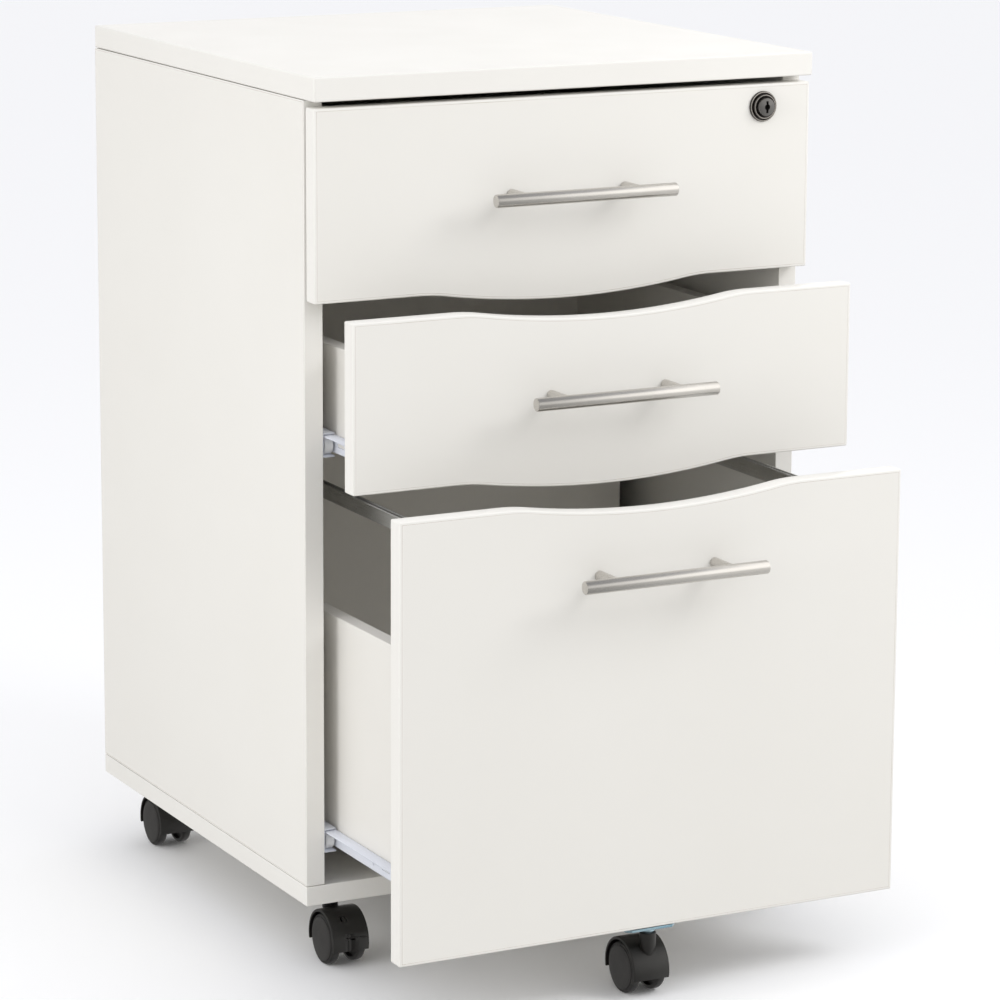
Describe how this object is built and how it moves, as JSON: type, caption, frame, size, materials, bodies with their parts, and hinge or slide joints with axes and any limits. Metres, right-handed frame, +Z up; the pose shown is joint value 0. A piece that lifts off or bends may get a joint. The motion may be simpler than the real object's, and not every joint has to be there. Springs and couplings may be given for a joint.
{
  "type": "rolling pedestal cabinet",
  "caption": "White rolling office pedestal with sliding drawers on roller runners, bar handles, a gang lock, file rails and swivelling twin-wheel casters.",
  "frame": {"origin": "on the floor, in the middle of the cabinet's box with the middle and lower drawers part open", "axes": "+Z up, +X to the cabinet's right as seen from the front, +Y to its back; the drawers open to -Y"},
  "size_m": [0.42, 0.5975, 0.6835],
  "materials": {
    "white_board": "white melamine-faced chipboard, satin, with rounded edge band",
    "coated_runner": "white epoxy powder coat on pressed steel",
    "roller_plastic": "white nylon",
    "brushed_handle": "brushed stainless steel",
    "steel_fittings": "zinc-plated steel",
    "lock_metal": "black nickel, polished",
    "raw_aluminium": "mill-finish aluminium",
    "black_nylon": "moulded black nylon, fine texture",
    "wheel_nylon": "moulded black nylon, smooth",
    "zinc_plate": "bright zinc plate with a bluish cast"
  },
  "bodies": {
    "cabinet": {"top_panel": "white_board", "left_side_panel": "white_board", "right_side_panel": "white_board", "bottom_panel": "white_board", "back_panel": "white_board", "panel_fittings": "steel_fittings", "caster_stems": "black_nylon", "upper_cabinet_runners": "coated_runner", "middle_cabinet_runners": "coated_runner", "lower_cabinet_runners": "coated_runner"},
    "lock_bar": {"lock_bar": "raw_aluminium"},
    "lock_plug": {"lock_plug": "lock_metal"},
    "upper_drawer": {"upper_drawer_front": "white_board", "upper_drawer_left_side": "white_board", "upper_drawer_right_side": "white_board", "upper_drawer_back": "white_board", "upper_drawer_bottom": "white_board", "upper_drawer_runners": "coated_runner", "upper_drawer_handle": "brushed_handle", "upper_drawer_screws": "steel_fittings", "lock_housing": "lock_metal"},
    "upper_front_rollers": {"upper_front_rollers": "roller_plastic"},
    "upper_rear_rollers": {"upper_drawer_rear_rollers": "roller_plastic"},
    "middle_drawer": {"middle_drawer_front": "white_board", "middle_drawer_left_side": "white_board", "middle_drawer_right_side": "white_board", "middle_drawer_back": "white_board", "middle_drawer_bottom": "white_board", "middle_drawer_runners": "coated_runner", "middle_drawer_handle": "brushed_handle", "middle_drawer_screws": "steel_fittings"},
    "middle_front_rollers": {"middle_front_rollers": "roller_plastic"},
    "middle_rear_rollers": {"middle_drawer_rear_rollers": "roller_plastic"},
    "lower_drawer": {"lower_drawer_front": "white_board", "lower_drawer_left_side": "white_board", "lower_drawer_right_side": "white_board", "lower_drawer_back": "white_board", "lower_drawer_bottom": "white_board", "lower_drawer_runners": "coated_runner", "lower_drawer_handle": "brushed_handle", "lower_drawer_screws": "steel_fittings", "file_rails": "raw_aluminium", "anti_tip_plate": "zinc_plate"},
    "lower_front_rollers": {"lower_front_rollers": "roller_plastic"},
    "lower_rear_rollers": {"lower_drawer_rear_rollers": "roller_plastic"},
    "front_left_caster_hood": {"front_left_caster_hood": "black_nylon"},
    "front_left_caster_left_wheel": {"front_left_caster_left_wheel": "wheel_nylon"},
    "front_left_caster_right_wheel": {"front_left_caster_right_wheel": "wheel_nylon"},
    "front_right_caster_hood": {"front_right_caster_hood": "black_nylon"},
    "front_right_caster_left_wheel": {"front_right_caster_left_wheel": "wheel_nylon"},
    "front_right_caster_right_wheel": {"front_right_caster_right_wheel": "wheel_nylon"},
    "rear_left_caster_hood": {"rear_left_caster_hood": "black_nylon"},
    "rear_left_caster_left_wheel": {"rear_left_caster_left_wheel": "wheel_nylon"},
    "rear_left_caster_right_wheel": {"rear_left_caster_right_wheel": "wheel_nylon"},
    "rear_right_caster_hood": {"rear_right_caster_hood": "black_nylon"},
    "rear_right_caster_left_wheel": {"rear_right_caster_left_wheel": "wheel_nylon"},
    "rear_right_caster_right_wheel": {"rear_right_caster_right_wheel": "wheel_nylon"},
    "middle_caster_hood": {"middle_caster_hood": "black_nylon"},
    "middle_caster_left_wheel": {"middle_caster_left_wheel": "wheel_nylon"},
    "middle_caster_right_wheel": {"middle_caster_right_wheel": "wheel_nylon"}
  },
  "joints": [
    {"name": "upper_drawer_slide", "type": "slide", "parent": "cabinet", "child": "upper_drawer", "axis": [0, -1, 0], "range_m": [0, 0.255]},
    {"name": "upper_front_roller_turn", "type": "hinge", "parent": "cabinet", "child": "upper_front_rollers", "pos_m": [0, -0.09775, 0.53725], "axis": [1, 0, 0], "range_deg": [-10, 2097.2]},
    {"name": "upper_rear_roller_turn", "type": "hinge", "parent": "upper_drawer", "child": "upper_rear_rollers", "pos_m": [0, 0.23375, 0.53725], "axis": [1, 0, 0], "range_deg": [-10, 2097.2]},
    {"name": "middle_drawer_slide", "type": "slide", "parent": "cabinet", "child": "middle_drawer", "axis": [0, -1, 0], "range_m": [-0.065, 0.19]},
    {"name": "middle_front_roller_turn", "type": "hinge", "parent": "cabinet", "child": "middle_front_rollers", "pos_m": [0, -0.09775, 0.40725], "axis": [1, 0, 0], "range_deg": [-542, 1565.2]},
    {"name": "middle_rear_roller_turn", "type": "hinge", "parent": "middle_drawer", "child": "middle_rear_rollers", "pos_m": [0, 0.16875, 0.40725], "axis": [1, 0, 0], "range_deg": [-542, 1565.2]},
    {"name": "lower_drawer_slide", "type": "slide", "parent": "cabinet", "child": "lower_drawer", "axis": [0, -1, 0], "range_m": [-0.141, 0.114]},
    {"name": "lower_front_roller_turn", "type": "hinge", "parent": "cabinet", "child": "lower_front_rollers", "pos_m": [0, -0.09775, 0.10325], "axis": [1, 0, 0], "range_deg": [-1164.1, 943.1]},
    {"name": "lower_rear_roller_turn", "type": "hinge", "parent": "lower_drawer", "child": "lower_rear_rollers", "pos_m": [0, 0.09275, 0.10325], "axis": [1, 0, 0], "range_deg": [-1164.1, 943.1]},
    {"name": "lock_plug_turn", "type": "hinge", "parent": "upper_drawer", "child": "lock_plug", "pos_m": [0.1675, -0.10725, 0.6435], "axis": [0, 1, 0], "range_deg": [-2, 92]},
    {"name": "lock_bar_lift", "type": "slide", "parent": "cabinet", "child": "lock_bar", "axis": [0, 0, 1], "range_m": [0, 0.00849]},
    {"name": "front_left_swivel", "type": "hinge", "parent": "cabinet", "child": "front_left_caster_hood", "pos_m": [-0.1725, -0.06825, 0.0555], "axis": [0, 0, 1], "continuous": true},
    {"name": "front_left_left_wheel_turn", "type": "hinge", "parent": "front_left_caster_hood", "child": "front_left_caster_left_wheel", "pos_m": [-0.1725, -0.08375, 0.0195], "axis": [1, 0, 0], "continuous": true},
    {"name": "front_left_right_wheel_turn", "type": "hinge", "parent": "front_left_caster_hood", "child": "front_left_caster_right_wheel", "pos_m": [-0.1725, -0.08375, 0.0195], "axis": [1, 0, 0], "continuous": true},
    {"name": "front_right_swivel", "type": "hinge", "parent": "cabinet", "child": "front_right_caster_hood", "pos_m": [0.1725, -0.06825, 0.0555], "axis": [0, 0, 1], "continuous": true},
    {"name": "front_right_left_wheel_turn", "type": "hinge", "parent": "front_right_caster_hood", "child": "front_right_caster_left_wheel", "pos_m": [0.1725, -0.08375, 0.0195], "axis": [1, 0, 0], "continuous": true},
    {"name": "front_right_right_wheel_turn", "type": "hinge", "parent": "front_right_caster_hood", "child": "front_right_caster_right_wheel", "pos_m": [0.1725, -0.08375, 0.0195], "axis": [1, 0, 0], "continuous": true},
    {"name": "rear_left_swivel", "type": "hinge", "parent": "cabinet", "child": "rear_left_caster_hood", "pos_m": [-0.1725, 0.27075, 0.0555], "axis": [0, 0, 1], "continuous": true},
    {"name": "rear_left_left_wheel_turn", "type": "hinge", "parent": "rear_left_caster_hood", "child": "rear_left_caster_left_wheel", "pos_m": [-0.1725, 0.25525, 0.0195], "axis": [1, 0, 0], "continuous": true},
    {"name": "rear_left_right_wheel_turn", "type": "hinge", "parent": "rear_left_caster_hood", "child": "rear_left_caster_right_wheel", "pos_m": [-0.1725, 0.25525, 0.0195], "axis": [1, 0, 0], "continuous": true},
    {"name": "rear_right_swivel", "type": "hinge", "parent": "cabinet", "child": "rear_right_caster_hood", "pos_m": [0.1725, 0.27075, 0.0555], "axis": [0, 0, 1], "continuous": true},
    {"name": "rear_right_left_wheel_turn", "type": "hinge", "parent": "rear_right_caster_hood", "child": "rear_right_caster_left_wheel", "pos_m": [0.1725, 0.25525, 0.0195], "axis": [1, 0, 0], "continuous": true},
    {"name": "rear_right_right_wheel_turn", "type": "hinge", "parent": "rear_right_caster_hood", "child": "rear_right_caster_right_wheel", "pos_m": [0.1725, 0.25525, 0.0195], "axis": [1, 0, 0], "continuous": true},
    {"name": "middle_swivel", "type": "hinge", "parent": "lower_drawer", "child": "middle_caster_hood", "pos_m": [0, -0.25725, 0.0555], "axis": [0, 0, 1], "continuous": true},
    {"name": "middle_left_wheel_turn", "type": "hinge", "parent": "middle_caster_hood", "child": "middle_caster_left_wheel", "pos_m": [0, -0.24175, 0.0195], "axis": [1, 0, 0], "continuous": true},
    {"name": "middle_right_wheel_turn", "type": "hinge", "parent": "middle_caster_hood", "child": "middle_caster_right_wheel", "pos_m": [0, -0.24175, 0.0195], "axis": [1, 0, 0], "continuous": true}
  ],
  "couplings": [
    {"joint": "upper_front_roller_turn", "follows": "upper_drawer_slide", "rad_per_m": 142.86},
    {"joint": "upper_rear_roller_turn", "follows": "upper_drawer_slide", "rad_per_m": 142.86},
    {"joint": "middle_front_roller_turn", "follows": "middle_drawer_slide", "rad_per_m": 142.86},
    {"joint": "middle_rear_roller_turn", "follows": "middle_drawer_slide", "rad_per_m": 142.86},
    {"joint": "lower_front_roller_turn", "follows": "lower_drawer_slide", "rad_per_m": 142.86},
    {"joint": "lower_rear_roller_turn", "follows": "lower_drawer_slide", "rad_per_m": 142.86},
    {"joint": "lock_plug_turn", "follows": "lock_bar_lift", "rad_per_m": 185.12}
  ]
}
